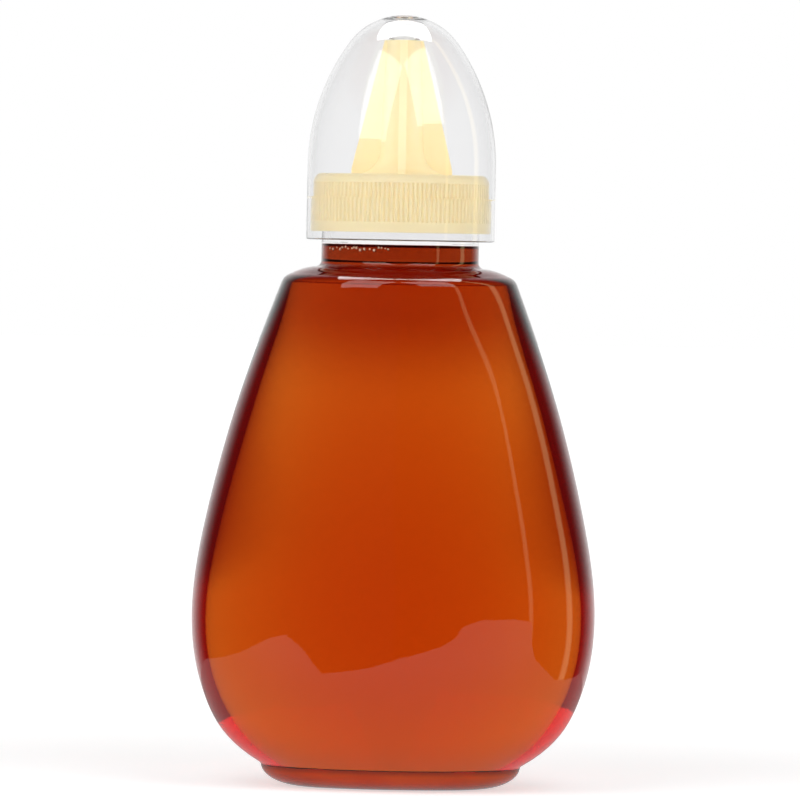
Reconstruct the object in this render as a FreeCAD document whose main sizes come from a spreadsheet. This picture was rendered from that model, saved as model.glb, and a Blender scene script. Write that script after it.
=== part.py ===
import FreeCAD, Part

import os
from math import cos, pi, sin

import Sketcher

# Squeeze dispenser for honey, in millimetres.
# The origin is the middle of the foot on the table, +Z is up, +X is the width and -Y is the front.
# The pieces are a blown bottle with its neck, the filling, a washer, a screw cap with a finned nozzle,
# and a cover. The neck is one moulding with the bottle, and a solid of its own from just over its root.

SIZES = {
    # Outline of the bottle, as widths and depths at a few heights.
    "crease_height": 4.9,
    "crease_width": 57.9,
    "crease_depth": 40.0,
    "heel_rise": 4.5,
    "heel_width": 70.4,
    "heel_depth": 49.0,
    "hip_rise": 8.6,
    "hip_width": 82.2,
    "hip_depth": 56.8,
    "belly_rise": 20.6,
    "belly_width": 90.0,
    "belly_depth": 61.6,
    "waist_rise": 22.7,
    "waist_width": 83.8,
    "waist_depth": 58.6,
    "chest_rise": 25.4,
    "chest_width": 70.6,
    "chest_depth": 52.4,
    "shoulder_rise": 29.1,
    # How much tighter the ends of each outline are than half the depth, as a share of it.
    "end_tightness": 0.1,
    # The rounded shoulder, from one angle in degrees to another, and the shelf that rises to the neck.
    "shoulder_round": 3.2,
    "shoulder_start": 21.0,
    "shoulder_end": 72.5,
    "shoulder_side": 5.75,
    "shoulder_front": 3.9,
    "shelf_fall": 1.65,
    "shelf_side": 2.6,
    "shelf_front": 1.9,
    # The foot curves in under the bottle by this much, and the inside by less.
    "foot_spread": 9.0,
    "foot_inner_spread": 1.2,
    "standing_ring": 11.4,
    "push_up": 1.6,
    "wall": 1.1,
    # Neck of the bottle.
    "neck_radius": 17.55,
    "neck_wall": 1.5,
    "neck_length": 18.25,
    "neck_root_round": 1.4,
    "neck_root_margin": 0.1,
    "lip_round": 0.4,
    # Filling.
    "fill_level": 4.5,
    "fill_gap": 0.1,
    # Washer between the neck and the cap.
    "washer_thickness": 0.8,
    "washer_gap": 0.1,
    "washer_hole_radius": 11.0,
    # Screw cap.
    "thread_room": 1.05,
    "skirt_length": 11.2,
    "skirt_wall": 1.5,
    "plain_rim": 2.3,
    "ledge_height": 7.7,
    "ledge_width": 0.55,
    "plate_thickness": 1.7,
    "cap_round": 1.8,
    "cap_inner_round": 1.2,
    "rib_count": 120,
    "rib_depth": 0.34,
    "rib_bed": 0.15,
    "rib_crest": 0.42,
    "rib_top_margin": 0.15,
    # Nozzle on the cap.
    "nozzle_height": 29.8,
    "nozzle_root_radius": 5.05,
    "nozzle_tip_radius": 3.9,
    "nozzle_flare": 5.7,
    "nozzle_wall": 1.3,
    "channel_mouth_radius": 7.4,
    "channel_flare": 5.7,
    "orifice_radius": 1.7,
    "orifice_length": 1.5,
    "fin_count": 4,
    "fin_thickness": 1.7,
    "fin_root_radius": 11.2,
    "fin_root_step": 1.1,
    "fin_tip_proud": 0.4,
    # Dust cover over the cap.
    "cover_gap": 0.08,
    "cover_wall": 1.0,
    "cover_skirt_wall": 0.82,
    "cover_below_cap": 1.85,
    "cover_headroom": 5.7,
    "cover_side_radius": 46.9,
    "cover_nose_radius": 15.0,
    "seat_gap": 0.1,
    "seat_height": 1.2,
    "seat_taper": 1.6,
    "stub_radius": 3.4,
    "stub_wall": 0.8,
    "stub_gap": 0.25,
}

# Heights and radii that several pieces share, each worked out once from the sizes.
LEVELS = {
    "heel_z": "Sizes.crease_height + Sizes.heel_rise",
    "hip_z": "Levels.heel_z + Sizes.hip_rise",
    "belly_z": "Levels.hip_z + Sizes.belly_rise",
    "waist_z": "Levels.belly_z + Sizes.waist_rise",
    "chest_z": "Levels.waist_z + Sizes.chest_rise",
    "shoulder_z": "Levels.chest_z + Sizes.shoulder_rise",
    "corner_z": "Levels.shoulder_z - Sizes.shelf_fall - Sizes.shoulder_round * sin(Sizes.shoulder_end)",
    "neck_z": "Levels.shoulder_z + Sizes.neck_root_round + Sizes.neck_root_margin",
    "lip_z": "Levels.shoulder_z + Sizes.neck_length",
    "neck_bore": "Sizes.neck_radius - Sizes.neck_wall",
    "floor_z": "Sizes.push_up + Sizes.wall",
    "plate_under_z": "Levels.lip_z + Sizes.washer_thickness",
    "plate_middle_z": "Levels.plate_under_z + Sizes.plate_thickness / 2",
    "plate_top_z": "Levels.plate_under_z + Sizes.plate_thickness",
    "skirt_end_z": "Levels.plate_under_z - Sizes.skirt_length",
    "ledge_z": "Levels.skirt_end_z + Sizes.ledge_height",
    "tip_z": "Levels.plate_top_z + Sizes.nozzle_height",
    "cap_bore": "Sizes.neck_radius + Sizes.thread_room",
    "washer_radius": "Levels.cap_bore - Sizes.cap_inner_round - Sizes.washer_gap",
    "skirt_radius": "Levels.cap_bore + Sizes.skirt_wall",
    "crown_radius": "Levels.skirt_radius - Sizes.ledge_width",
    "rib_bottom_z": "Levels.skirt_end_z + Sizes.plain_rim",
    "rib_top_z": "Levels.plate_top_z - Sizes.cap_round - Sizes.rib_top_margin",
    "skirt_bed": "Levels.skirt_radius - Sizes.rib_depth - Sizes.rib_bed",
    "crown_bed": "Levels.crown_radius - Sizes.rib_depth - Sizes.rib_bed",
    "flare_top_z": "Levels.plate_under_z + Sizes.channel_flare",
    "orifice_z": "Levels.tip_z - Sizes.orifice_length",
    "cover_bore": "Levels.skirt_radius + Sizes.cover_gap",
    "cover_radius": "Levels.cover_bore + Sizes.cover_skirt_wall",
    "cover_inner": "Levels.cover_radius - Sizes.cover_wall",
    "cover_end_z": "Levels.skirt_end_z - Sizes.cover_below_cap",
    "cover_top_z": "Levels.tip_z + Sizes.cover_headroom",
    "cover_shell_z": "Levels.cover_top_z - Sizes.cover_wall / 2",
    "seat_radius": "Levels.crown_radius + Sizes.seat_gap",
    "seat_top_z": "Levels.ledge_z + Sizes.seat_height",
    "seat_end_z": "Levels.seat_top_z + Sizes.seat_taper",
    "stub_bore": "Sizes.stub_radius - Sizes.stub_wall",
    "stub_end_z": "Levels.tip_z + Sizes.stub_gap",
    "nose_z": "Levels.cover_top_z - Sizes.cover_nose_radius",
    "side_x": "Levels.cover_radius - Sizes.cover_side_radius",
    "arc_reach": "Sizes.cover_side_radius - Sizes.cover_nose_radius",
    "spring_z": "Levels.nose_z - sqrt(Levels.arc_reach ^ 2 - Levels.side_x ^ 2)",
}

# Outlines of the bottle from the foot up, with their heights.
STATIONS = {
    "crease": "Sizes.crease_height",
    "heel": "Levels.heel_z",
    "hip": "Levels.hip_z",
    "belly": "Levels.belly_z",
    "waist": "Levels.waist_z",
    "chest": "Levels.chest_z",
}
FOOT_STEPS = 3
CROWN_STEPS = 3
CLOSE = 1e-3

document = FreeCAD.newDocument("honey_dispenser")

sheet = document.addObject("Spreadsheet::Sheet", "Sizes")
for row, (alias, number) in enumerate(SIZES.items(), start=1):
    sheet.set(f"A{row}", alias)
    sheet.set(f"B{row}", str(number))
    sheet.setAlias(f"B{row}", alias)
document.recompute()

levels = document.addObject("App::VarSet", "Levels")
for level, formula in LEVELS.items():
    levels.addProperty("App::PropertyFloat", level)
    levels.setExpression(level, formula)
document.recompute()


def value_of(text):
    """What an expression comes to now."""
    return float(sheet.evalExpression(text))


def flat(x, y):
    return FreeCAD.Vector(x, y, 0)


def origin_item(body, role):
    return [item for item in body.Origin.OriginFeatures if item.Role == role][0]


def new_sketch(body, name, role, height="0"):
    sketch = body.newObject("Sketcher::SketchObject", name)
    sketch.AttachmentSupport = [(origin_item(body, role), "")]
    sketch.MapMode = "FlatFace"
    sketch.setExpression(".AttachmentOffset.Base.z", height)
    return sketch


def bind(sketch, name, text, kind, *where):
    """Add a dimension to a sketch and bind it to an expression."""
    index = sketch.addConstraint(Sketcher.Constraint(kind, *where, value_of(text)))
    sketch.renameConstraint(index, name)
    sketch.setExpression(f"Constraints.{name}", text)


def fix_point(sketch, item, point, x, y):
    """Hold a point at its distances from the origin, or on an axis where one is nought."""
    for letter, text, kind, axis in (("x", x, "DistanceX", -2), ("y", y, "DistanceY", -1)):
        if text == "0":
            sketch.addConstraint(Sketcher.Constraint("PointOnObject", item, point, axis))
        else:
            bind(sketch, f"{letter}{item}_{point}", text, kind, -1, 1, item, point)


def add_arc(sketch, centre, radius, start, stop):
    circle = Part.Circle(centre, FreeCAD.Vector(0, 0, 1), radius)
    return sketch.addGeometry(Part.ArcOfCircle(circle, start, stop), False)


def oval(body, name, height, half_width, half_depth, end_radius):
    """Four tangent arcs: small ones at the ends of the width, large ones at the front and back."""
    sketch = new_sketch(body, name, "XY_Plane", height)
    reach = f"({half_width} - {end_radius})"
    front_radius = (
        f"({reach} ^ 2 + {half_depth} ^ 2 - {end_radius} ^ 2) / (2 * ({half_depth} - {end_radius}))"
    )
    end = value_of(end_radius)
    front = value_of(front_radius)
    centre_x = value_of(reach)
    centre_y = front - value_of(half_depth)
    turn = flat(centre_x, centre_y).getAngle(flat(1, 0))
    add_arc(sketch, flat(centre_x, 0), end, -turn, turn)
    add_arc(sketch, flat(0, -centre_y), front, turn, pi - turn)
    add_arc(sketch, flat(-centre_x, 0), end, pi - turn, pi + turn)
    add_arc(sketch, flat(0, centre_y), front, pi + turn, 2 * pi - turn)
    for index in range(4):
        sketch.addConstraint(Sketcher.Constraint("Tangent", index, 2, (index + 1) % 4, 1))
    for index in (0, 2):
        sketch.addConstraint(Sketcher.Constraint("PointOnObject", index, 3, -1))
        bind(sketch, f"end_radius_{index}", end_radius, "Radius", index)
    for index in (1, 3):
        bind(sketch, f"front_radius_{index}", front_radius, "Radius", index)
    bind(sketch, "right_end", reach, "DistanceX", -1, 1, 0, 3)
    bind(sketch, "left_end", reach, "DistanceX", 2, 3, -1, 1)
    return sketch


def polyline(sketch, points):
    """Straight lines through points, each point bound to the sheet, except the last one."""
    places = [flat(value_of(x), value_of(y)) for x, y in points]
    for index, (start, stop) in enumerate(zip(places, places[1:])):
        sketch.addGeometry(Part.LineSegment(start, stop), False)
        fix_point(sketch, index, 1, *points[index])
        if index:
            sketch.addConstraint(Sketcher.Constraint("Coincident", index - 1, 2, index, 1))
    return len(points) - 2


def polygon(body, name, points):
    """A closed half outline of straight lines, drawn beside the vertical axis."""
    sketch = new_sketch(body, name, "XZ_Plane")
    last = polyline(sketch, points + points[:1])
    sketch.addConstraint(Sketcher.Constraint("Coincident", last, 2, 0, 1))
    return sketch


def disc(body, name, height, radius):
    sketch = new_sketch(body, name, "XY_Plane", height)
    sketch.addGeometry(Part.Circle(flat(0, 0), FreeCAD.Vector(0, 0, 1), value_of(radius)), False)
    sketch.addConstraint(Sketcher.Constraint("Coincident", 0, 3, -1, 1))
    bind(sketch, "radius", radius, "Radius", 0)
    return sketch


def pad(body, sketch, length):
    feature = body.newObject("PartDesign::Pad", f"{sketch.Name}_pad")
    feature.Profile = sketch
    feature.setExpression("Length", length)
    return feature


def turned(body, sketch, kind="Revolution"):
    """A half outline turned about the vertical axis, added or taken away."""
    feature = body.newObject(f"PartDesign::{kind}", f"{sketch.Name}_turned")
    feature.Profile = sketch
    feature.ReferenceAxis = (sketch, ["V_Axis"])
    feature.Angle = 360
    return feature


def loft(body, name, sections):
    feature = body.newObject("PartDesign::AdditiveLoft", name)
    feature.Profile = sections[0]
    feature.Sections = sections[1:]
    return feature


def rounded(body, name, base, fillet, height, circle_radius=None):
    """A fillet on the base's level edges at a height, or on the one circle of a radius there."""
    document.recompute()
    level = value_of(height)
    names = []
    for index, edge in enumerate(base.Shape.Edges, start=1):
        box = edge.optimalBoundingBox()
        if box.ZLength > CLOSE or abs(box.ZMin - level) > CLOSE:
            continue
        if circle_radius and abs(edge.Length - 2 * pi * value_of(circle_radius)) > CLOSE:
            continue
        names.append(f"Edge{index}")
    if not names:
        raise RuntimeError(f"{name}: no edge to round")
    feature = body.newObject("PartDesign::Fillet", name)
    feature.Base = (base, names)
    feature.setExpression("Radius", fillet)
    return feature


def joined(kind, name, base, tool):
    feature = document.addObject(f"Part::{kind}", name)
    feature.Base = base
    feature.Tool = tool
    return feature


def side_outline(name, height, inset):
    """Height, half width, half depth and end radius of one outline of the bottle's sides."""
    return (
        height,
        f"(Sizes.{name}_width / 2 - {inset})",
        f"(Sizes.{name}_depth / 2 - {inset})",
        f"(Sizes.{name}_depth / 2 * (1 - Sizes.end_tightness) - {inset})",
    )


def foot_outline(step, inset, floor, spread):
    """The same for one step of the foot, from the crease down to its floor."""
    angle = f"(90 * {step} / {FOOT_STEPS})"
    height = f"({floor} + (Sizes.crease_height - {floor}) * (1 - sin({angle})))"
    return side_outline("crease", height, f"({inset} + {spread} * (1 - cos({angle})))")


def crown_outline(step, inset):
    """The same for one step of the rounded shoulder, from the sides to the shelf."""
    angle = (
        f"(Sizes.shoulder_start + (Sizes.shoulder_end - Sizes.shoulder_start)"
        f" * {step} / {CROWN_STEPS})"
    )
    reach = f"Sizes.shoulder_round * cos({angle})"
    shrink = f"{inset} * cos({angle})"
    half_depth = f"(Sizes.neck_radius + Sizes.shoulder_front + {reach})"
    return (
        f"(Levels.corner_z + (Sizes.shoulder_round - {inset}) * sin({angle}))",
        f"(Sizes.neck_radius + Sizes.shoulder_side + {reach} - {shrink})",
        f"({half_depth} - {shrink})",
        f"({half_depth} * (1 - Sizes.end_tightness) - {shrink})",
    )


def bottle_form(name, inset, neck_radius, floor, foot_spread, top):
    """The bottle's form, drawn in by an inset: its outside, its inside or its filling."""
    body = document.addObject("PartDesign::Body", name)

    def sketches(part, outlines):
        return [oval(body, f"{name}_{part}_{index}", *item) for index, item in enumerate(outlines)]

    sides = [side_outline(station, height, inset) for station, height in STATIONS.items()]
    foot = sketches("foot", [
        foot_outline(step, inset, floor, foot_spread) for step in range(FOOT_STEPS, -1, -1)
    ])
    side = sketches("side", sides)
    crown = sketches("crown", [crown_outline(step, inset) for step in range(CROWN_STEPS + 1)])
    shoulder = f"(Levels.shoulder_z - {inset})"
    shelf_width = "(Sizes.neck_radius + Sizes.shelf_side)"
    shelf_depth = "(Sizes.neck_radius + Sizes.shelf_front)"
    shelf_end = f"({shelf_depth} * (1 - Sizes.end_tightness))"
    shelf = oval(body, f"{name}_shelf_edge", shoulder, shelf_width, shelf_depth, shelf_end)
    loft(body, f"{name}_foot", foot)
    loft(body, f"{name}_sides", side + crown[:1])
    loft(body, f"{name}_shoulder", crown)
    loft(body, f"{name}_shelf", [crown[-1], shelf])
    neck = pad(body, disc(body, f"{name}_neck", shoulder, neck_radius), f"{top} - {shoulder}")
    root_round = f"Sizes.neck_root_round + {inset}"
    body.Tip = rounded(body, f"{name}_root", neck, root_round, shoulder, neck_radius)
    return body


def build_bottle():
    """The blown bottle up to its neck: its outside with the pushed-up base, less its inside."""
    outside = bottle_form(
        "outside", "0", "Sizes.neck_radius", "0", "Sizes.foot_spread", "Levels.neck_z"
    )
    ring = side_outline("crease", "0", "Sizes.standing_ring")
    pocket = outside.newObject("PartDesign::Pocket", "push_up_pocket")
    pocket.Profile = oval(outside, "push_up_outline", *ring)
    pocket.setExpression("Length", "Sizes.push_up")
    pocket.Reversed = True
    outside.Tip = pocket
    inside = bottle_form(
        "inside", "Sizes.wall", "Levels.neck_bore", "Levels.floor_z",
        "Sizes.foot_inner_spread", "Levels.lip_z",
    )
    return joined("Cut", "bottle", outside, inside)


def build_neck():
    """The bottle's neck, from over its root to the lip that the washer lies on."""
    body = document.addObject("PartDesign::Body", "bottle_neck")
    wall = turned(body, polygon(body, "neck_outline", [
        ("Levels.neck_bore", "Levels.neck_z"),
        ("Sizes.neck_radius", "Levels.neck_z"),
        ("Sizes.neck_radius", "Levels.lip_z"),
        ("Levels.neck_bore", "Levels.lip_z"),
    ]))
    body.Tip = rounded(
        body, "lip_edge", wall, "Sizes.lip_round", "Levels.lip_z", "Sizes.neck_radius"
    )
    return body


def build_filling():
    """The honey, a hair smaller than the bottle's inside and level with the lower neck."""
    return bottle_form(
        "honey_fill", "(Sizes.wall + Sizes.fill_gap)", "(Levels.neck_bore - Sizes.fill_gap)",
        "(Levels.floor_z + Sizes.fill_gap)", "Sizes.foot_inner_spread",
        "(Levels.shoulder_z + Sizes.fill_level)",
    )


def build_washer():
    """The flat ring that the cap presses on the neck."""
    body = document.addObject("PartDesign::Body", "cap_washer")
    outline = polygon(body, "washer_outline", [
        ("Sizes.washer_hole_radius", "Levels.lip_z"),
        ("Levels.washer_radius", "Levels.lip_z"),
        ("Levels.washer_radius", "Levels.plate_under_z"),
        ("Sizes.washer_hole_radius", "Levels.plate_under_z"),
    ])
    body.Tip = turned(body, outline)
    return body


def build_plain_cap():
    """The cap before its grip ribs: skirt, ledge, plate, and the nozzle with its fins."""
    body = document.addObject("PartDesign::Body", "plain_cap")
    shell = turned(body, polygon(body, "cap_outline", [
        ("0", "Levels.plate_under_z"),
        ("Levels.cap_bore", "Levels.plate_under_z"),
        ("Levels.cap_bore", "Levels.skirt_end_z"),
        ("Levels.skirt_radius", "Levels.skirt_end_z"),
        ("Levels.skirt_radius", "Levels.rib_bottom_z"),
        ("Levels.skirt_bed", "Levels.rib_bottom_z"),
        ("Levels.skirt_bed", "Levels.ledge_z"),
        ("Levels.crown_bed", "Levels.ledge_z"),
        ("Levels.crown_bed", "Levels.rib_top_z"),
        ("Levels.crown_radius", "Levels.rib_top_z"),
        ("Levels.crown_radius", "Levels.plate_top_z"),
        ("0", "Levels.plate_top_z"),
    ]))
    crown = rounded(body, "cap_edge", shell, "Sizes.cap_round", "Levels.plate_top_z")
    rounded(body, "cap_corner", crown, "Sizes.cap_inner_round", "Levels.plate_under_z")
    core = turned(body, polygon(body, "core_outline", [
        ("0", "Levels.plate_top_z"),
        ("Sizes.nozzle_root_radius", "Levels.plate_top_z"),
        ("Sizes.nozzle_tip_radius", "Levels.tip_z"),
        ("0", "Levels.tip_z"),
    ]))
    rounded(
        body, "nozzle_root", core, "Sizes.nozzle_flare",
        "Levels.plate_top_z", "Sizes.nozzle_root_radius",
    )
    fin_outline = polygon(body, "fin_outline", [
        ("0", "Levels.plate_middle_z"),
        ("Sizes.fin_root_radius", "Levels.plate_middle_z"),
        ("Sizes.fin_root_radius", "Levels.plate_top_z + Sizes.fin_root_step"),
        ("Sizes.nozzle_tip_radius + Sizes.fin_tip_proud", "Levels.tip_z"),
        ("0", "Levels.tip_z"),
    ])
    fin = pad(body, fin_outline, "Sizes.fin_thickness")
    fin.Midplane = True
    fins = body.newObject("PartDesign::PolarPattern", "fins")
    fins.Originals = [fin]
    fins.Axis = (fin_outline, ["V_Axis"])
    fins.Angle = 360
    fins.setExpression("Occurrences", "Sizes.fin_count")
    body.Tip = fins
    body.Tip = turned(body, polygon(body, "channel_outline", [
        ("0", "Levels.lip_z"),
        ("Sizes.channel_mouth_radius", "Levels.lip_z"),
        ("Sizes.channel_mouth_radius", "Levels.plate_under_z"),
        ("Sizes.nozzle_root_radius - Sizes.nozzle_wall", "Levels.flare_top_z"),
        ("Sizes.nozzle_tip_radius - Sizes.nozzle_wall", "Levels.orifice_z"),
        ("Sizes.orifice_radius", "Levels.orifice_z"),
        ("Sizes.orifice_radius", "Levels.cover_top_z"),
        ("0", "Levels.cover_top_z"),
    ]), "Groove")
    return body


def rib_ring(radius, bed, start, stop):
    """A ring with upright grip ribs outside, from one height to another."""
    crest = value_of(radius)
    valley = crest - value_of("Sizes.rib_depth")
    count = round(value_of("Sizes.rib_count"))
    pitch = 2 * pi / count
    half_crest = pitch / 2 * value_of("Sizes.rib_crest")
    bottom = value_of(start)
    corners = []
    for index in range(count):
        for reach, turn in ((valley, -pitch / 2), (crest, -half_crest), (crest, half_crest)):
            angle = index * pitch + turn
            corners.append(FreeCAD.Vector(reach * cos(angle), reach * sin(angle), bottom))
    outline = Part.makePolygon(corners + corners[:1])
    hole = Part.Wire(Part.makeCircle(value_of(bed), FreeCAD.Vector(0, 0, bottom)))
    face = Part.makeFace([outline, hole], "Part::FaceMakerBullseye")
    return face.extrude(FreeCAD.Vector(0, 0, value_of(stop) - bottom))


def build_cap():
    """The screw cap: one moulding of skirt, ribs, plate and finned nozzle."""
    ribs = document.addObject("Part::Feature", "grip_ribs")
    ribs.Shape = Part.makeCompound([
        rib_ring("Levels.skirt_radius", "Levels.skirt_bed", "Levels.rib_bottom_z", "Levels.ledge_z"),
        rib_ring("Levels.crown_radius", "Levels.crown_bed", "Levels.ledge_z", "Levels.rib_top_z"),
    ])
    return joined("Fuse", "screw_cap", build_plain_cap(), ribs)


def build_cover():
    """The pointed dust cover: a turned shell of two arcs, with a seat and a sealing stub."""
    body = document.addObject("PartDesign::Body", "dust_cover")
    sketch = new_sketch(body, "cover_outline", "XZ_Plane")
    last = polyline(sketch, [
        ("Levels.cover_inner", "Levels.spring_z"),
        ("Levels.cover_inner", "Levels.seat_end_z"),
        ("Levels.seat_radius", "Levels.seat_top_z"),
        ("Levels.seat_radius", "Levels.ledge_z"),
        ("Levels.cover_bore", "Levels.ledge_z"),
        ("Levels.cover_bore", "Levels.cover_end_z"),
        ("Levels.cover_radius", "Levels.cover_end_z"),
        ("Levels.cover_radius", "Levels.spring_z"),
    ])
    fix_point(sketch, last, 2, "Levels.cover_radius", "Levels.spring_z")
    # A side arc and a nose arc, outside and then inside, which meet without a corner.
    side_centre = flat(value_of("Levels.side_x"), value_of("Levels.spring_z"))
    nose_centre = flat(0, value_of("Levels.nose_z"))
    lean = (nose_centre - side_centre).getAngle(flat(1, 0))
    meeting = []
    for wall, line, end in (("0", last, 2), ("Sizes.cover_wall", 0, 1)):
        side_radius = f"Sizes.cover_side_radius - {wall}"
        nose_radius = f"Sizes.cover_nose_radius - {wall}"
        side = add_arc(sketch, side_centre, value_of(side_radius), 0, lean)
        nose = add_arc(sketch, nose_centre, value_of(nose_radius), lean, pi / 2)
        bind(sketch, f"side_radius_{side}", side_radius, "Radius", side)
        bind(sketch, f"nose_radius_{nose}", nose_radius, "Radius", nose)
        sketch.addConstraint(Sketcher.Constraint("Tangent", line, end, side, 1))
        sketch.addConstraint(Sketcher.Constraint("Tangent", side, 2, nose, 1))
        sketch.addConstraint(Sketcher.Constraint("PointOnObject", nose, 3, -2))
        sketch.addConstraint(Sketcher.Constraint("PointOnObject", nose, 2, -2))
        meeting.append(nose)
    top = value_of("Levels.cover_top_z")
    under = top - value_of("Sizes.cover_wall")
    closing = sketch.addGeometry(Part.LineSegment(flat(0, top), flat(0, under)), False)
    for end, nose in enumerate(meeting, start=1):
        sketch.addConstraint(Sketcher.Constraint("Coincident", closing, end, nose, 2))
    turned(body, sketch)
    body.Tip = turned(body, polygon(body, "stub_outline", [
        ("Levels.stub_bore", "Levels.stub_end_z"),
        ("Sizes.stub_radius", "Levels.stub_end_z"),
        ("Sizes.stub_radius", "Levels.cover_shell_z"),
        ("Levels.stub_bore", "Levels.cover_shell_z"),
    ]))
    return body


def check_and_write(pieces):
    """Stop on anything that failed, then write each piece under its own name."""
    for item in document.Objects:
        if "Invalid" in item.State or "Error" in item.State:
            raise RuntimeError(f"{item.Name} failed: {item.State}")
    for piece in pieces:
        if piece.Shape.isNull() or not piece.Shape.isValid() or len(piece.Shape.Solids) != 1:
            raise RuntimeError(f"{piece.Label} is not one valid solid")
    os.makedirs("parts", exist_ok=True)
    for piece in pieces:
        piece.Shape.exportStep(f"parts/{piece.Label}.step")
        box = piece.Shape.optimalBoundingBox()
        print(
            f"{piece.Label}: {piece.Shape.Volume:.0f} mm3, {len(piece.Shape.Faces)} faces,"
            f" {box.XLength:.2f} x {box.YLength:.2f}, from {box.ZMin:.2f} to {box.ZMax:.2f}"
        )


pieces = [
    build_bottle(), build_neck(), build_filling(), build_washer(), build_cap(), build_cover()
]
for piece in pieces:
    piece.Label = piece.Name
    piece.Placement = FreeCAD.Placement()
document.recompute()
check_and_write(pieces)
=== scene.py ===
"""A squeeze bottle of honey with a screw cap and a clear pointed cover, dressed around its CAD model."""

import random
from math import atan2, cos, exp, pi, radians, sin, sqrt, tan

import bmesh
import bpy
import numpy as np
from mathutils import Matrix, Vector


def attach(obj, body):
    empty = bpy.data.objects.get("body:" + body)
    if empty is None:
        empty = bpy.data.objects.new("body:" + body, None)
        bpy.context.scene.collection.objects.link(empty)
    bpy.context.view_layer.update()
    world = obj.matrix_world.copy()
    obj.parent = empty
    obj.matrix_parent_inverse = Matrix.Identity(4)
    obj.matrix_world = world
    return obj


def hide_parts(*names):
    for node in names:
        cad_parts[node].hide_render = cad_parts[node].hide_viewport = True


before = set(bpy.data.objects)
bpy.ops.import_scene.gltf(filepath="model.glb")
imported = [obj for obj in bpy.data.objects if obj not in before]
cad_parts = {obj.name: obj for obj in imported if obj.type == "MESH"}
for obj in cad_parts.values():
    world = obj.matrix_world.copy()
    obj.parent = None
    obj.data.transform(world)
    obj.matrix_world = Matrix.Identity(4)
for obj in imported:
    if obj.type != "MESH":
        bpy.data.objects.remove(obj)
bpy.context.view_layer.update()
scene = bpy.context.scene
MM = 0.001
WHITE = (1, 1, 1, 1)
BLACK = (0, 0, 0, 1)

# Camera, as worked out from the photograph: eye level with the cap, 1.7 m away, rolled a little.
CAMERA_DISTANCE = 1.7
EYE_HEIGHT = 0.127
AIM = Vector((0.0006, 0.0, 0.0863))
VIEW_WIDTH = 0.1784
CAMERA_ROLL = radians(1.1)
SENSOR_WIDTH = 36.0

# The bottle's outline in millimetres: height, width and depth, from the crease over the foot up.
OUTLINE = (
    (4.9, 57.9, 40.0),
    (9.4, 70.4, 49.0),
    (18.0, 82.2, 56.8),
    (38.6, 90.0, 61.6),
    (61.3, 83.8, 58.6),
    (86.7, 70.6, 52.4),
)
SIDE_SLOPE = 1.75
FRONT_SLOPE = 1.25
END_SHARE = 0.9
WALL = 1.1
SIDE_STEPS = 76

# The foot, the crease over it, and the pushed-up base. The base's curve holds shares of its half width
# with shares of the push-up's height.
FOOT_SPREAD = 9.0
FOOT_INNER_SPREAD = 8.4
FOOT_STEPS = 12
CREASE_EASE = 0.35
PUSH_UP = 1.6
FLOOR_Z = 2.7
BASE_CURVE = (
    (0.15, 1.0), (0.35, 0.99), (0.5, 0.93), (0.6, 0.8), (0.67, 0.61),
    (0.72, 0.39), (0.76, 0.18), (0.8, 0.04), (0.84, 0.0),
)

# The shoulder's rounded corner, the shelf over it and the fillet at the neck's root.
CORNER_Z = 111.1
CORNER_ROUND = 3.2
CORNER_SIDE = 23.3
CORNER_FRONT = 21.45
CORNER_START = radians(21.0)
CORNER_END = radians(72.5)
SHELF_Z = 115.8
SHELF_EASE = 1.6
ROOT_ROUND = 1.4

# The neck and its thread.
NECK_RADIUS = 17.55
NECK_BORE = 16.05
NECK_START_Z = 118.0
NECK_STEP = 0.22
LIP_Z = 134.05
LIP_ROUND = 0.4
BORE_ROUND = 0.3
THREAD_LEAD = 4.233
THREAD_START = radians(40)
NECK_THREAD_Z = 125.6
NECK_THREAD_LAPS = 1.55
NECK_THREAD_RISE = 0.8

# The honey, with a small gap to the wall, and its surface drawn up at the neck.
HONEY_Z = 120.3
HONEY_GAP = 0.12
SHEET_DROP = 0.03
MENISCUS_RISE = 0.55
MENISCUS_REACH = 0.5
BUBBLE_ARC = (radians(203), radians(262))
BUBBLE_SIZES = (0.22, 0.46)

# The cover: a tube, a long arc and a nose arc, with a hollow stub under the top.
COVER_END = 121.8
COVER_TOP = 172.04
COVER_RADIUS = 20.99
COVER_WALL = 1.0
COVER_SKIRT_WALL = 0.82
COVER_SIDE = 46.9
COVER_NOSE = 15.0
STUB_RADIUS = 3.4
STUB_WALL = 0.8
STUB_END = 166.6

# Points round every level outline.
COLUMNS = 160

# The table lies a hair under the foot, so that no two faces coincide.
TABLE_HALF = 6.0
TABLE_Z = -0.00005
# What shows through the honey: painted honey-coloured light on the table right under the foot, and
# painted shade on the part behind it.
UNDER_FOOT_PAINTED_LIGHT = (1.0, 0.3, 0.08, 1)
NEAR_PAINTED_SHADE = (0.55, 0.12, 0.025, 1)

# The world's light on surfaces, level and from above, in the open and through the clear plastic.
LEVEL_LIGHT = 1.5
OVERHEAD_LIGHT = 0.35
OPEN_SHARE = 0.5
THROUGH_SHARE = 1.35
SKY_OVERHEAD = 0.72

# The lamps stand close to the cap. Straight through clear plastic they are seen dimmed.
LAMP_DISTANCE = 0.32
LAMP_AIM = Vector((0, -0.02, 0.15))
LAMP_DIMMING = 0.85

# The dark ball that mirror rays see, pale behind the bottle. Each bright streak has its direction and
# half width in degrees, and its strength.
ROOM_RADIUS = 2.6
ROOM_DARK = 0.03
ROOM_BEHIND = 0.9
STREAKS = ((123.0, 3.0, 1.4), (76.0, 6.0, 1.6))
STREAK_TINT = (1.0, 0.82, 0.42, 1)

HONEY_ABSORBS = (0.904, 0.547, 0.0, 1)
HONEY_DENSITY = 118.0


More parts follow.
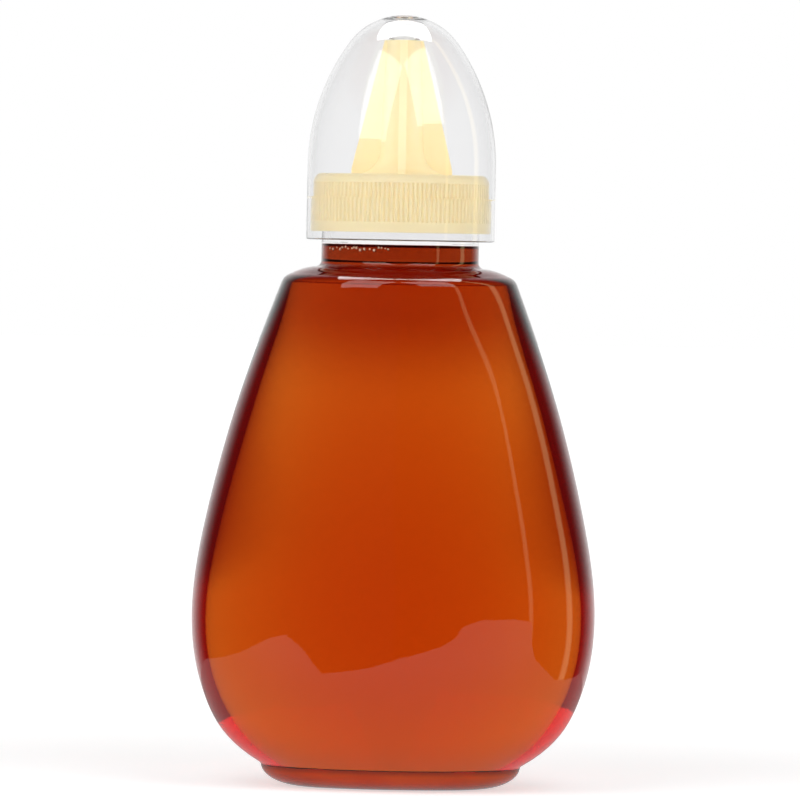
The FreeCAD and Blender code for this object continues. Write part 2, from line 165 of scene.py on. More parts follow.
class Graph:
    """Adds nodes to the node tree of a material, a lamp or the world, and links them."""

    def __init__(self, owner):
        owner.use_nodes = True
        self.tree = owner.node_tree
        self.tree.nodes.clear()

    def put(self, socket, value):
        """Link a socket to another one, or set its value."""
        if isinstance(value, bpy.types.NodeSocket):
            self.tree.links.new(value, socket)
        else:
            socket.default_value = value

    def add(self, kind, inputs=None, **settings):
        node = self.tree.nodes.new(kind)
        for name, value in settings.items():
            setattr(node, name, value)
        for name, value in (inputs or {}).items():
            self.put(node.inputs[name], value)
        return node

    def finish(self, kind, shader):
        """Add the output node, with a shader linked to it."""
        self.output = self.add(kind, {"Surface": shader.outputs[0]})

    def math(self, operation, first, second=0.0, clamp=False):
        node = self.add("ShaderNodeMath", {0: first, 1: second}, operation=operation, use_clamp=clamp)
        return node.outputs[0]

    def ramp(self, value, low, high, out_low=0.0, out_high=1.0):
        """A smooth step from one value to another."""
        node = self.add(
            "ShaderNodeMapRange",
            {"Value": value, "From Min": low, "From Max": high, "To Min": out_low, "To Max": out_high},
            interpolation_type="SMOOTHSTEP",
        )
        return node.outputs[0]

    def mix(self, amount, first, second):
        node = self.add("ShaderNodeMix", data_type="RGBA")
        for index, value in ((0, amount), (6, first), (7, second)):
            self.put(node.inputs[index], value)
        return node.outputs[2]

    def place(self):
        """The point's place on the object, in millimetres, as one vector and as x, y and z."""
        point = self.add("ShaderNodeTexCoord").outputs["Object"]
        scale = 1 / MM
        scaled = self.add(
            "ShaderNodeVectorMath", {0: point, 1: (scale, scale, scale)}, operation="MULTIPLY"
        )
        parts = self.add("ShaderNodeSeparateXYZ", {0: scaled.outputs[0]})
        return scaled.outputs[0], parts.outputs

    def noise(self, vector, scale, detail, stretch=None):
        if stretch:
            vector = self.add("ShaderNodeMapping", {"Vector": vector, "Scale": stretch}).outputs[0]
        node = self.add("ShaderNodeTexNoise", {"Vector": vector, "Scale": scale, "Detail": detail})
        return node.outputs["Fac"]

    def bump(self, height, distance, normal=None):
        inputs = {"Height": height, "Distance": distance, "Strength": 1.0}
        if normal is not None:
            inputs["Normal"] = normal
        return self.add("ShaderNodeBump", inputs).outputs[0]


def new_object(name, mesh):
    thing = bpy.data.objects.new(name, mesh)
    scene.collection.objects.link(thing)
    return thing


def new_mesh(name, verts, faces):
    mesh = bpy.data.meshes.new(name)
    mesh.from_pydata(verts, [], faces)
    return mesh


def make_camera():
    camera = new_object("camera", bpy.data.cameras.new("camera"))
    camera.location = (AIM.x, -CAMERA_DISTANCE, EYE_HEIGHT)
    look = AIM - camera.location
    turn = look.to_track_quat("-Z", "Y").to_matrix().to_4x4()
    camera.rotation_euler = (turn @ Matrix.Rotation(CAMERA_ROLL, 4, "Z")).to_euler()
    camera.data.sensor_width = SENSOR_WIDTH
    camera.data.lens = SENSOR_WIDTH * look.length / VIEW_WIDTH
    camera.data.clip_start = 0.05
    camera.data.clip_end = 60.0
    scene.camera = camera


def make_world():
    """White to the camera. Surfaces get mostly level light, and more of it through clear plastic."""
    world = bpy.data.worlds.new("studio")
    scene.world = world
    graph = Graph(world)
    path = graph.add("ShaderNodeLightPath").outputs
    camera, through = path["Is Camera Ray"], path["Is Transmission Ray"]
    direction = graph.add("ShaderNodeTexCoord").outputs["Generated"]
    height = graph.add("ShaderNodeSeparateXYZ", {0: direction}).outputs["Z"]
    straight = graph.math("ADD", graph.math("ADD", camera, path["Is Glossy Ray"]), through, clamp=True)
    seen = graph.math("MULTIPLY", straight, graph.ramp(height, 0.3, 0.8, 1.0, SKY_OVERHEAD))
    seen = graph.math("MAXIMUM", seen, camera)
    around = graph.ramp(graph.math("ABSOLUTE", height), 0.0, 0.7, LEVEL_LIGHT, OVERHEAD_LIGHT)
    inside = graph.math("MULTIPLY", through, path["Diffuse Depth"], clamp=True)
    share = graph.math("ADD", graph.math("MULTIPLY", inside, THROUGH_SHARE), OPEN_SHARE)
    strength = graph.math("MAXIMUM", seen, graph.math("MULTIPLY", around, share))
    background = graph.add("ShaderNodeBackground", {"Color": WHITE, "Strength": strength})
    graph.finish("ShaderNodeOutputWorld", background)


def make_floor():
    """A white table. Seen through the honey, it has painted shade close to the bottle and painted
    honey-coloured light under the foot.
    """
    square = ((-1, -1), (1, -1), (1, 1), (-1, 1))
    corners = [(x * TABLE_HALF, y * TABLE_HALF, TABLE_Z) for x, y in square]
    mesh = new_mesh("floor", corners, [(0, 1, 2, 3)])
    floor = new_object("floor", mesh)
    material = bpy.data.materials.new("floor_white")
    graph = Graph(material)
    path = graph.add("ShaderNodeLightPath").outputs
    through = path["Is Transmission Ray"]
    point = graph.place()[0]
    reach = graph.add("ShaderNodeVectorMath", {0: point}, operation="LENGTH").outputs["Value"]
    plain = graph.mix(graph.ramp(reach, 90.0, 400.0, 0.6, 1.0), BLACK, WHITE)
    # Painted shade and light, seen only through the honey: dark red out to 360 mm, and orange right
    # under the foot.
    tint = graph.mix(graph.ramp(reach, 120.0, 360.0), NEAR_PAINTED_SHADE, WHITE)
    tint = graph.mix(graph.ramp(reach, 45.0, 60.0), UNDER_FOOT_PAINTED_LIGHT, tint)
    # Painted shade: a further dimming of what the honey sees, strongest near the bottle and gone by 450
    # mm.
    tint = graph.mix(graph.ramp(reach, 120.0, 450.0, 0.8, 1.0), BLACK, tint)
    scattered = graph.math("GREATER_THAN", path["Diffuse Depth"], 0.5)
    tint = graph.mix(scattered, tint, (LEVEL_LIGHT, LEVEL_LIGHT, LEVEL_LIGHT, 1))
    straight = graph.math("ADD", path["Is Camera Ray"], through, clamp=True)
    glow = graph.mix(through, plain, tint)
    light = graph.add("ShaderNodeEmission", {"Color": glow, "Strength": straight})
    paint = graph.add("ShaderNodeBsdfDiffuse", {"Color": graph.mix(through, (0.8, 0.8, 0.8, 1), BLACK)})
    both = graph.add("ShaderNodeAddShader", {0: light.outputs[0], 1: paint.outputs[0]})
    graph.finish("ShaderNodeOutputMaterial", both)
    mesh.materials.append(material)
    floor.visible_glossy = False


def mirror_piece(name, verts, faces, look):
    """A piece of the studio that only mirror rays see. look returns its light's colour and strength."""
    mesh = new_mesh(name, verts, faces)
    material = bpy.data.materials.new(name)
    graph = Graph(material)
    colour, strength = look(graph)
    light = graph.add("ShaderNodeEmission", {"Color": colour, "Strength": strength})
    graph.finish("ShaderNodeOutputMaterial", light)
    mesh.materials.append(material)
    thing = new_object(name, mesh)
    thing.visible_camera = False
    thing.visible_diffuse = False
    thing.visible_transmission = False
    thing.visible_shadow = False
    thing.visible_volume_scatter = False


def make_table_shine():
    """The bright part of the table as the bottle mirrors it, with the uneven edge of a white sheet."""
    edge = [
        (-163, -59), (-185, -150), (-198, -266), (-120, -190), (-48, -99), (-20, -125), (7, -166),
        (63, -218), (120, -300), (230, -520), (450, -800), (760, -900), (800, -500), (269, -173),
        (150, -80), (110, -10), (130, 90), (60, 170), (-60, 170), (-150, 80),
    ]
    verts = [(0.0, 0.0, 0.0)] + [(x * MM, y * MM, 0.0) for x, y in edge]
    count = len(edge)
    faces = [(0, 1 + i, 1 + (i + 1) % count) for i in range(count)]

    def look(graph):
        along = graph.place()[1]["Y"]
        return WHITE, graph.ramp(along, -150.0, 10.0, 0.7, 0.42)

    mirror_piece("table_shine", verts, faces, look)


def make_dark_room():
    """A dark ball round everything, like the unlit part of a studio."""
    rows, columns = 12, 32
    verts = []
    for row in range(1, rows):
        angle = pi * row / rows - pi / 2
        for column in range(columns):
            turn = 2 * pi * column / columns
            reach = ROOM_RADIUS * cos(angle)
            verts.append((reach * cos(turn), reach * sin(turn), ROOM_RADIUS * sin(angle)))
    faces = [
        (row * columns + column, row * columns + (column + 1) % columns,
         (row + 1) * columns + (column + 1) % columns, (row + 1) * columns + column)
        for row in range(rows - 2) for column in range(columns)
    ]
    faces.append(tuple(reversed(range(columns))))
    faces.append(tuple((rows - 2) * columns + column for column in range(columns)))

    def look(graph):
        parts = graph.place()[1]
        turn = graph.math("ARCTAN2", parts["X"], parts["Y"])
        behind = graph.math("ABSOLUTE", turn)
        strength = graph.ramp(behind, radians(20), radians(55), ROOM_BEHIND, ROOM_DARK)
        for middle, half, power in STREAKS:
            off = graph.math("ABSOLUTE", graph.math("SUBTRACT", turn, radians(middle)))
            streak = graph.ramp(off, radians(half * 0.4), radians(half), power, 0.0)
            strength = graph.math("ADD", strength, streak)
        return graph.mix(graph.ramp(turn, radians(60), radians(70)), WHITE, STREAK_TINT), strength

    mirror_piece("dark_room", verts, faces, look)


def make_overhead():
    """Two white sheets overhead, which give the bright windows on the shoulder."""
    half = [(0.0, -0.08), (0.4, -0.08), (0.64, 0.08), (0.27, 0.85), (0.0, 0.85)]
    height, strength = 1.11, 8.0
    verts = [(side * x, y, height) for side in (-1, 1) for x, y in half]
    mirror_piece("overhead", verts, [(0, 1, 2, 3, 4), (5, 6, 7, 8, 9)], lambda graph: (WHITE, strength))


def softbox(name, azimuth, elevation, width, height, power):
    """A soft light that faces the cap from a direction in degrees, 0 being the camera's side."""
    turn, lift = radians(azimuth), radians(elevation)
    offset = Vector((sin(turn) * cos(lift), -cos(turn) * cos(lift), sin(lift))) * LAMP_DISTANCE
    data = bpy.data.lights.new(name, "AREA")
    data.shape = "RECTANGLE"
    data.size = width
    data.size_y = height
    data.energy = power
    graph = Graph(data)
    path = graph.add("ShaderNodeLightPath").outputs
    unscattered = graph.math("SUBTRACT", 1.0, graph.math("MINIMUM", path["Diffuse Depth"], 1.0))
    straight = graph.math("MULTIPLY", path["Is Transmission Ray"], unscattered)
    seen = graph.math("SUBTRACT", 1.0, graph.math("MULTIPLY", straight, LAMP_DIMMING))
    light = graph.add("ShaderNodeEmission", {"Color": WHITE, "Strength": seen})
    graph.finish("ShaderNodeOutputLight", light)
    lamp = new_object(name, data)
    lamp.visible_camera = False
    lamp.location = LAMP_AIM + offset
    lamp.rotation_euler = (-offset).to_track_quat("-Z", "Y").to_euler()


def cubic(heights, values, first_slope, last_slope):
    """A smooth curve through values at heights, with given slopes at both ends, as a function."""
    x, y = np.array(heights, float), np.array(values, float)
    step = np.diff(x)
    count = len(x)
    system, right = np.zeros((count, count)), np.zeros(count)
    system[0, 0] = system[-1, -1] = 1.0
    right[0], right[-1] = first_slope, last_slope
    for i in range(1, count - 1):
        system[i, i - 1] = 1 / step[i - 1]
        system[i, i] = 2 / step[i - 1] + 2 / step[i]
        system[i, i + 1] = 1 / step[i]
        right[i] = 3 * ((y[i] - y[i - 1]) / step[i - 1] ** 2 + (y[i + 1] - y[i]) / step[i] ** 2)
    slope = np.linalg.solve(system, right)

    def value(z):
        i = int(np.clip(np.searchsorted(x, z) - 1, 0, count - 2))
        t, h = (z - x[i]) / step[i], step[i]
        return float(
            y[i] * (1 + 2 * t) * (1 - t) ** 2 + h * slope[i] * t * (1 - t) ** 2
            + y[i + 1] * t * t * (3 - 2 * t) + h * slope[i + 1] * t * t * (t - 1)
        )

    return value


corner_top = CORNER_Z + CORNER_ROUND * sin(CORNER_START)
side_curve = cubic(
    [row[0] for row in OUTLINE] + [corner_top],
    [row[1] / 2 for row in OUTLINE] + [CORNER_SIDE + CORNER_ROUND * cos(CORNER_START)],
    SIDE_SLOPE, -tan(CORNER_START),
)
front_curve = cubic(
    [row[0] for row in OUTLINE] + [CORNER_Z],
    [row[2] / 2 for row in OUTLINE] + [CORNER_FRONT + CORNER_ROUND],
    FRONT_SLOPE, 0.0,
)


def half_depth(z):
    """Half the bottle's depth at a height: the front's curve, and over it the corner's arc."""
    if z <= CORNER_Z:
        return front_curve(z)
    return CORNER_FRONT + sqrt(CORNER_ROUND ** 2 - (z - CORNER_Z) ** 2)


def ring(z, a, b, end, push=None):
    """One level outline of four tangent arcs, as points by the direction that they face."""
    turns = np.linspace(0, 2 * pi, COLUMNS, endpoint=False)
    c, s = np.abs(np.cos(turns)), np.abs(np.sin(turns))
    reach = a - end
    if reach < 1e-4 or b - end < 1e-4:
        x, y = a * c, b * s
    else:
        front = (reach ** 2 + b ** 2 - end ** 2) / (2 * (b - end))
        rise = front - b
        ends = np.arctan2(s, c) <= atan2(rise, reach)
        x = np.where(ends, reach + end * c, front * c)
        y = np.where(ends, end * s, front * s - rise)
    x, y = x * np.sign(np.cos(turns)), y * np.sign(np.sin(turns))
    points = np.stack([x, y, np.full(COLUMNS, z)], axis=1)
    if push is not None:
        points[:, :2] *= (1 + push(turns, z) / a)[:, None]
    return points


def circle(z, radius, push=None):
    return ring(z, radius, radius, radius, push)


def bottle_rows(inset, floor, spread, neck_radius):
    """Level outlines of the bottle drawn in by an inset, from its floor to the root of its neck."""
    crease_z, width, depth = OUTLINE[0]
    rows = []

    # The foot, as a quarter of an oval.
    a0, b0 = width / 2 - inset, depth / 2 - inset
    for step in range(FOOT_STEPS, 0, -1):
        angle = pi / 2 * step / FOOT_STEPS
        draw = spread * (1 - cos(angle))
        z = floor + (crease_z - floor) * (1 - sin(angle))
        rows.append((z, a0 - draw, b0 - draw, depth / 2 * END_SHARE - inset - draw))

    # The crease over the foot, eased into the sides.
    start = crease_z + CREASE_EASE
    for step in range(1, 6):
        t = step / 6
        z = crease_z - CREASE_EASE + (start - crease_z + CREASE_EASE) * t
        ease = t * t
        a = a0 + ease * (side_curve(start) - width / 2)
        b = b0 + ease * (front_curve(start) - depth / 2)
        rows.append((z, a, b, (b + inset) * END_SHARE - inset))

    # The sides, up to the shoulder's corner, and the corner.
    for step in range(SIDE_STEPS + 1):
        z = start + (corner_top - start) * step / SIDE_STEPS
        b = half_depth(z)
        rows.append((z, side_curve(z) - inset, b - inset, b * END_SHARE - inset))
    for step in range(1, 11):
        angle = CORNER_START + (CORNER_END - CORNER_START) * step / 10
        reach, shrink = CORNER_ROUND * cos(angle), inset * cos(angle)
        b = CORNER_FRONT + reach
        z = CORNER_Z + (CORNER_ROUND - inset) * sin(angle)
        rows.append((z, CORNER_SIDE + reach - shrink, b - shrink, b * END_SHARE - shrink))

    # The sloping shelf, which turns from oval to round, and the fillet at the neck's root.
    z0, a, b, end = rows[-1]
    root = ROOT_ROUND + inset
    edge, shelf = neck_radius + root, SHELF_Z - inset
    for step in range(1, 9):
        t = step / 8
        z = z0 + (shelf - z0) * (1 - (1 - t) ** SHELF_EASE)
        rows.append((z, a + (edge - a) * t, b + (edge - b) * t, end + (edge - end) * t))
    for step in range(1, 9):
        angle = pi / 2 * step / 8
        r = edge - root * sin(angle)
        rows.append((shelf + root * (1 - cos(angle)), r, r, r))
    return rows


def base_rows(lift):
    """The pushed-up base as level outlines from its middle outwards, raised by a lift."""
    a0, b0 = OUTLINE[0][1] / 2 - FOOT_SPREAD, OUTLINE[0][2] / 2 - FOOT_SPREAD
    return [
        (lift + share_z * PUSH_UP, a0 * share, b0 * share, b0 * share * END_SHARE)
        for share, share_z in BASE_CURVE
    ]


def skin(name, rings, first_cap=None, last_cap=None, marks=None):
    """A mesh through closed rings of points, with a fan to a middle point at either end if wanted.

    marks holds each row's material number.
    """
    verts = [tuple(p * MM) for p in np.concatenate(rings)]
    marks = marks or [0] * (len(rings) - 1)
    faces, kinds = [], []
    for row, mark in enumerate(marks):
        for column in range(COLUMNS):
            right = (column + 1) % COLUMNS
            low, high = row * COLUMNS, (row + 1) * COLUMNS
            faces.append((low + column, low + right, high + right, high + column))
            kinds.append(mark)
    for cap, row, mark in ((first_cap, 0, marks[0]), (last_cap, len(rings) - 1, marks[-1])):
        if cap is None:
            continue
        verts.append((0.0, 0.0, cap * MM))
        middle = len(verts) - 1
        for column in range(COLUMNS):
            pair = (row * COLUMNS + column, row * COLUMNS + (column + 1) % COLUMNS)
            faces.append((pair[0], pair[1], middle) if row else (pair[1], pair[0], middle))
            kinds.append(mark)
    mesh = new_mesh(name, verts, faces)
    mesh.polygons.foreach_set("material_index", kinds)
    mesh.shade_smooth()
    mesh.update()
    return new_object(name, mesh)


def neck_thread(turns, z):
    """How far the neck's thread stands out: one ridge that winds up and fades at both ends."""
    push = np.zeros(len(turns))
    for lap in range(-1, 3):
        along = (turns - THREAD_START) / (2 * pi) + lap
        middle = NECK_THREAD_Z + THREAD_LEAD * along
        fade = np.clip(np.minimum(along, NECK_THREAD_LAPS - along) / 0.06, 0, 1)
        flank = np.clip((0.95 - np.abs(z - middle)) / 0.45, 0, 1)
        push = np.maximum(push, fade * flank * NECK_THREAD_RISE)
    return push


def make_bottle():
    """The bottle as one closed skin: its outside from the base up, and its inside down again.

    Its faces have three materials: clear, wetted by the honey, and foot.
    """
    base = base_rows(0.0)
    rings = [ring(*row) for row in base + bottle_rows(0.0, 0.0, FOOT_SPREAD, NECK_RADIUS)]
    for z in np.arange(NECK_START_Z, LIP_Z - LIP_ROUND, NECK_STEP):
        rings.append(circle(z, NECK_RADIUS, neck_thread))
    for step in range(5):
        angle = pi / 2 * step / 4
        draw, drop = LIP_ROUND * (1 - cos(angle)), LIP_ROUND * (1 - sin(angle))
        rings.append(circle(LIP_Z - drop, NECK_RADIUS - draw))
    for step in range(4, -1, -1):
        angle = pi / 2 * step / 4
        draw, drop = BORE_ROUND * (1 - cos(angle)), BORE_ROUND * (1 - sin(angle))
        rings.append(circle(LIP_Z - drop, NECK_BORE + draw))

    # The bore, down to the honey's edge, and the wall that the honey wets.
    for z in (130.0, 126.0, 123.0, HONEY_Z + 0.9):
        rings.append(circle(z, NECK_BORE))
    wet_from = len(rings) - 1
    for z in (HONEY_Z + 0.6, 119.0):
        rings.append(circle(z, NECK_BORE))
    inside = base_rows(WALL) + bottle_rows(WALL, WALL, FOOT_INNER_SPREAD, NECK_BORE)
    rings += [ring(*row) for row in reversed(inside)]
    foot_rows = len(base) + FOOT_STEPS
    clear_rows = wet_from - foot_rows
    marks = [2] * foot_rows + [0] * clear_rows + [1] * (len(rings) - 1 - wet_from)
    bottle = skin("bottle_shell", rings, first_cap=PUSH_UP, last_cap=FLOOR_Z, marks=marks)
    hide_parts("bottle", "bottle_neck")
    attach(bottle, "container")
    return bottle


def level_rings(drop):
    """The honey's free surface, lowered by a drop: level, and drawn up a little at the neck's wall."""
    edge = NECK_BORE - HONEY_GAP
    radii = [edge - draw for draw in (0.0, 0.15, 0.35, 0.6, 1.0, 1.6, 2.6)] + [10.0, 5.0, 1.0]
    return [
        circle(HONEY_Z + MENISCUS_RISE * exp(-(edge - radius) / MENISCUS_REACH) - drop, radius)
        for radius in radii
    ]


def make_honey():
    """The honey's body, and its free surface as a sheet of its own."""
    inset = WALL + HONEY_GAP
    rows = base_rows(inset) + bottle_rows(inset, inset, FOOT_INNER_SPREAD, NECK_BORE - HONEY_GAP)
    rings = [ring(*row) for row in rows] + level_rings(SHEET_DROP)
    honey = skin("honey", rings, first_cap=FLOOR_Z + HONEY_GAP, last_cap=HONEY_Z - SHEET_DROP)
    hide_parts("honey_fill")
    surface = skin("honey_surface", level_rings(0.0), last_cap=HONEY_Z)
    for piece in (honey, surface):
        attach(piece, "container")
    return honey, surface


def make_bubbles():
    """Small bubbles in the honey where it meets the front left of the neck."""
    random.seed(5)
    shape = bmesh.new()
    turn, last_turn = BUBBLE_ARC
    while turn < last_turn:
        size = random.uniform(*BUBBLE_SIZES)
        reach = NECK_BORE - 0.015 - size
        z = HONEY_Z - size * random.uniform(0.1, 1.6)
        centre = Vector((cos(turn) * reach, sin(turn) * reach, z))
        bmesh.ops.create_uvsphere(
            shape, u_segments=14, v_segments=9, radius=size * MM, matrix=Matrix.Translation(centre * MM)
        )
        turn += (size * 2 + random.uniform(-0.1, 0.7)) / NECK_BORE
    mesh = bpy.data.meshes.new("honey_bubbles")
    shape.to_mesh(mesh)
    shape.free()
    mesh.shade_smooth()
    bubbles = new_object("honey_bubbles", mesh)
    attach(bubbles, "container")
    return bubbles


def lathe(name, outline, first_cap, last_cap):
    """A turned mesh from an outline of radii and heights in millimetres.

    Long stretches get extra rows near their ends, so that smooth shading keeps to the corners.
    """
    points = [outline[0]]
    for (r0, z0), (r1, z1) in zip(outline, outline[1:]):
        length = sqrt((r1 - r0) ** 2 + (z1 - z0) ** 2)
        if length > 0.6:
            for share in (0.08 / length, 0.25 / length, 1 - 0.25 / length, 1 - 0.08 / length):
                points.append((r0 + (r1 - r0) * share, z0 + (z1 - z0) * share))
        points.append((r1, z1))
    return skin(name, [circle(z, r) for r, z in points], first_cap=first_cap, last_cap=last_cap)


def arc(middle, radius, start, stop, count):
    """Points on an arc in radius and height, between two angles from the level."""
    angles = [start + (stop - start) * i / count for i in range(count + 1)]
    return [(middle[0] + radius * cos(angle), middle[1] + radius * sin(angle)) for angle in angles]


def make_cover():
    """The clear cover: a pointed dome of two arcs, thinner round the cap, with a hollow stub inside."""
    side_x = COVER_RADIUS - COVER_SIDE
    nose_z = COVER_TOP - COVER_NOSE
    spring_z = nose_z - sqrt((COVER_SIDE - COVER_NOSE) ** 2 - side_x ** 2)
    turn = atan2(nose_z - spring_z, -side_x)
    top = COVER_TOP - COVER_WALL
    bore = COVER_RADIUS - COVER_SKIRT_WALL
    inner = COVER_RADIUS - COVER_WALL
    stub_bore = STUB_RADIUS - STUB_WALL

    stub = [
        (0.3, top), (stub_bore - 0.3, top), (stub_bore, top - 0.3),
        (stub_bore, STUB_END + 0.2), (stub_bore + 0.15, STUB_END),
        (STUB_RADIUS - 0.15, STUB_END), (STUB_RADIUS, STUB_END + 0.2),
        (STUB_RADIUS, top - 1.0), (STUB_RADIUS + 0.2, top - 0.75),
    ]
    inside = arc((0.0, nose_z), COVER_NOSE - COVER_WALL, pi / 2, turn, 24)[1:]
    inside = [(r, z) for r, z in inside if r > STUB_RADIUS + 0.5]
    inside += arc((side_x, spring_z), COVER_SIDE - COVER_WALL, turn, 0.0, 40)[1:]
    skirt = [
        (inner, 136.0), (inner + 0.09, 132.0), (bore, 128.0), (bore, 125.0),
        (bore, COVER_END + 0.25), (bore + 0.07, COVER_END + 0.07), (bore + 0.25, COVER_END),
    ]
    outside = [
        (COVER_RADIUS - 0.25, COVER_END), (COVER_RADIUS - 0.07, COVER_END + 0.07),
        (COVER_RADIUS, COVER_END + 0.25),
    ]
    outside += [(COVER_RADIUS, COVER_END + (spring_z - COVER_END) * i / 6) for i in range(1, 6)]
    outside += arc((side_x, spring_z), COVER_SIDE, 0.0, turn, 40)
    outside += arc((0.0, nose_z), COVER_NOSE, turn, pi / 2, 24)[1:-1]
    outside.append((0.3, COVER_TOP - 0.003))

    cover = lathe("cover_shell", stub + inside + skirt + outside, top, COVER_TOP)
    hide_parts("dust_cover")
    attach(cover, "cover")
    return cover


def make_cap_thread():
    """The thread ridge inside the cap, as a swept solid that is run out at both ends."""
    count, laps, start_z = 140, 1.2, 127.3
    wall, tip, root_half, tip_half = 18.7, 17.85, 0.75, 0.3
    verts, faces = [], []
    for index in range(count + 1):
        along = laps * index / count
        turn = THREAD_START + 2 * pi * along
        fade = min(1.0, min(along, laps - along) / 0.07 + 0.02)
        z = start_z + THREAD_LEAD * along
        reach, half = wall + (tip - wall) * fade, tip_half * fade + 0.05
        for r, lift in ((wall, -root_half), (reach, -half), (reach, half), (wall, root_half)):
            verts.append((r * cos(turn) * MM, r * sin(turn) * MM, (z + lift) * MM))
    for index in range(count):
        low, high = index * 4, index * 4 + 4
        for corner in range(4):
            other = (corner + 1) % 4
            faces.append((low + corner, low + other, high + other, high + corner))
    faces.append((3, 2, 1, 0))
    faces.append((count * 4, count * 4 + 1, count * 4 + 2, count * 4 + 3))
    mesh = new_mesh("cap_thread", verts, faces)
    mesh.update()
    thread = new_object("cap_thread", mesh)
    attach(thread, "cap")
    return thread


def shader_material(name, **inputs):
    """A material with one Principled shader, its graph and the shader's inputs."""
    material = bpy.data.materials.new(name)
    graph = Graph(material)
    shader = graph.add("ShaderNodeBsdfPrincipled", inputs)
    graph.finish("ShaderNodeOutputMaterial", shader)
    return material, graph, shader.inputs


def clear_plastic(name, tint, wave, haze):
    """Clear plastic with a slightly uneven, lightly worn surface."""
    look = {"Base Color": (*tint, 1), "IOR": 1.5, "Transmission Weight": 1.0}
    material, graph, inputs = shader_material(name, **look)
    point = graph.place()[0]
    wavy = graph.bump(graph.noise(point, 0.045, 1.0, stretch=(1, 1, 0.7)), wave * MM)
    graph.put(inputs["Normal"], graph.bump(graph.noise(point, 0.9, 3.0), 0.002 * MM, normal=wavy))
    worn = graph.noise(point, 0.12, 4.0)
    graph.put(inputs["Roughness"], graph.ramp(worn, 0.35, 0.75, haze, haze * 2.2))
    return material


def wet_wall():
    """The inside of the wall where the honey wets it, so that light passes straight through."""
    look = {"Base Color": WHITE, "IOR": 1.5, "Alpha": 0.0, "Roughness": 0.1}
    return shader_material("wet_wall", **look)[0]


def foot_plastic():
    """The foot and the base, painted with the orange that lit honey shows through clear plastic, and
    darker towards the crease as painted shade.
    """
    look = {"IOR": 1.45, "Transmission Weight": 0.12}
    material, graph, inputs = shader_material("foot_painted_honey_light", **look)
    point, parts = graph.place()
    cloud = graph.ramp(graph.noise(point, 0.06, 2.0), 0.3, 0.7)
    # Painted light: the clear foot takes the orange of lit honey seen through it, varied in random
    # clouds.
    low = graph.mix(cloud, (0.9, 0.09, 0.008, 1), (0.97, 0.13, 0.012, 1))
    # Painted shade: darker from 3.2 to 4.7 mm up, towards the crease over the foot.
    crease = graph.ramp(parts["Z"], 3.2, 4.7)
    graph.put(inputs["Base Color"], graph.mix(crease, low, (0.5, 0.045, 0.01, 1)))
    graph.put(inputs["Roughness"], graph.ramp(graph.noise(point, 0.12, 4.0), 0.35, 0.75, 0.04, 0.1))
    graph.put(inputs["Normal"], graph.bump(graph.noise(point, 0.05, 1.0), 0.2 * MM))
    return material


def honey_material():
    """Honey coloured by what it absorbs, with painted shade in its base colour that darkens it under the
    shoulder and more in the neck.

    It doesn't bend light, because the bottle's outside bends it for plastic and honey together.
    """
    look = {"IOR": 1.0, "Transmission Weight": 1.0, "Roughness": 0.0}
    material, graph, inputs = shader_material("honey", **look)
    height = graph.place()[1]["Z"]
    # Painted shade: the base colour turns darker and redder from 84 to 106 mm up, and darker still from
    # 114 mm into the neck.
    tone = graph.mix(graph.ramp(height, 84.0, 106.0), WHITE, (0.62, 0.3, 0.3, 1))
    tone = graph.mix(graph.ramp(height, 114.0, 118.0), tone, (0.38, 0.12, 0.12, 1))
    graph.put(inputs["Base Color"], tone)
    absorb = graph.add("ShaderNodeVolumeAbsorption", {"Color": HONEY_ABSORBS, "Density": HONEY_DENSITY})
    graph.put(graph.output.inputs["Volume"], absorb.outputs[0])
    return material


def honey_top_material():
    """The honey's free surface, which mirrors and bends light."""
    look = {"Base Color": (1, 0.9, 0.7, 1), "IOR": 1.49, "Transmission Weight": 1.0, "Roughness": 0.02}
    return shader_material("honey_top", **look)[0]


def bubble_material():
    """Pale bubbles, which show as light dots at the honey's edge."""
    look = {"Base Color": (1.0, 0.72, 0.5, 1), "IOR": 1.5, "Roughness": 0.15}
    return shader_material("honey_bubbles", **look)[0]


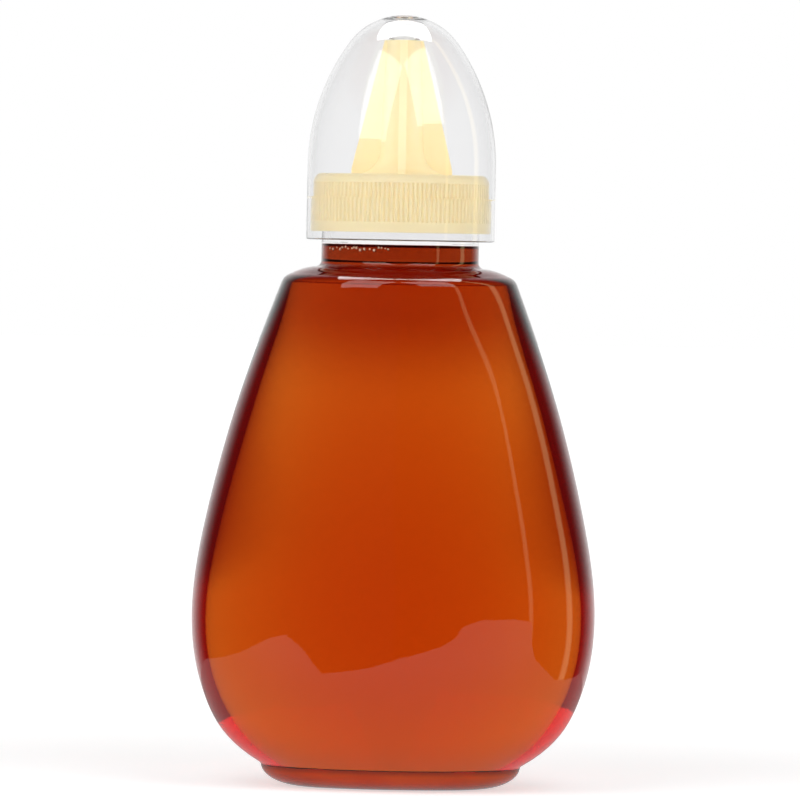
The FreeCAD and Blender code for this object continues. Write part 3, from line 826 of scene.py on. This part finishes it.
def cream_material():
    """Pale yellow plastic, a little cloudy and specked, with a fine moulded grain."""
    look = {"IOR": 1.5, "Subsurface Weight": 0.15, "Subsurface Scale": 0.0006}
    material, graph, inputs = shader_material("cream_plastic", **look)
    inputs["Subsurface Radius"].default_value = (1.0, 0.75, 0.45)
    point = graph.place()[0]
    cloud = graph.ramp(graph.noise(point, 0.08, 3.0), 0.3, 0.7)
    speck = graph.ramp(graph.noise(point, 1.6, 2.0), 0.55, 0.8, 0.0, 0.12)
    tone = graph.mix(cloud, (0.98, 0.815, 0.475, 1), (0.99, 0.84, 0.51, 1))
    graph.put(inputs["Base Color"], graph.mix(speck, tone, (0.9, 0.7, 0.36, 1)))
    graph.put(inputs["Roughness"], graph.ramp(graph.noise(point, 0.35, 4.0), 0.3, 0.7, 0.3, 0.44))
    graph.put(inputs["Normal"], graph.bump(graph.noise(point, 2.2, 3.0), 0.012 * MM))
    return material


def foam_material():
    """White foam with fine cells."""
    material, graph, inputs = shader_material("white_foam", IOR=1.45)
    point = graph.place()[0]
    cells = graph.add("ShaderNodeTexVoronoi", {"Vector": point, "Scale": 2.6}).outputs["Distance"]
    graph.put(inputs["Base Color"], graph.mix(cells, (0.9, 0.9, 0.87, 1), (0.95, 0.95, 0.93, 1)))
    graph.put(inputs["Roughness"], graph.ramp(cells, 0.0, 1.0, 0.85, 0.65))
    graph.put(inputs["Normal"], graph.bump(cells, 0.05 * MM))
    return material


def give(thing, *materials):
    """Give a piece its materials. Clearing an empty list too would reset the faces' numbers."""
    if thing.data.materials:
        thing.data.materials.clear()
    for material in materials:
        thing.data.materials.append(material)


scene.view_settings.view_transform = "Standard"
make_camera()
make_world()
make_floor()
make_table_shine()
make_dark_room()
make_overhead()
softbox("softbox_left", -40, 38, 0.23, 0.3, 0.5)
softbox("softbox_right", 39, 44, 0.22, 0.26, 0.42)

give(
    make_bottle(),
    clear_plastic("clear_bottle", (0.985, 0.98, 0.98), 0.25, 0.015), wet_wall(), foot_plastic(),
)
honey, surface = make_honey()
give(honey, honey_material())
give(surface, honey_top_material())
give(make_bubbles(), bubble_material())
cream = cream_material()
give(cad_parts["screw_cap"], cream)
give(make_cap_thread(), cream)
give(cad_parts["cap_washer"], foam_material())
give(make_cover(), clear_plastic("clear_cover", (0.952, 0.952, 0.955), 0.12, 0.02))

bpy.context.view_layer.update()
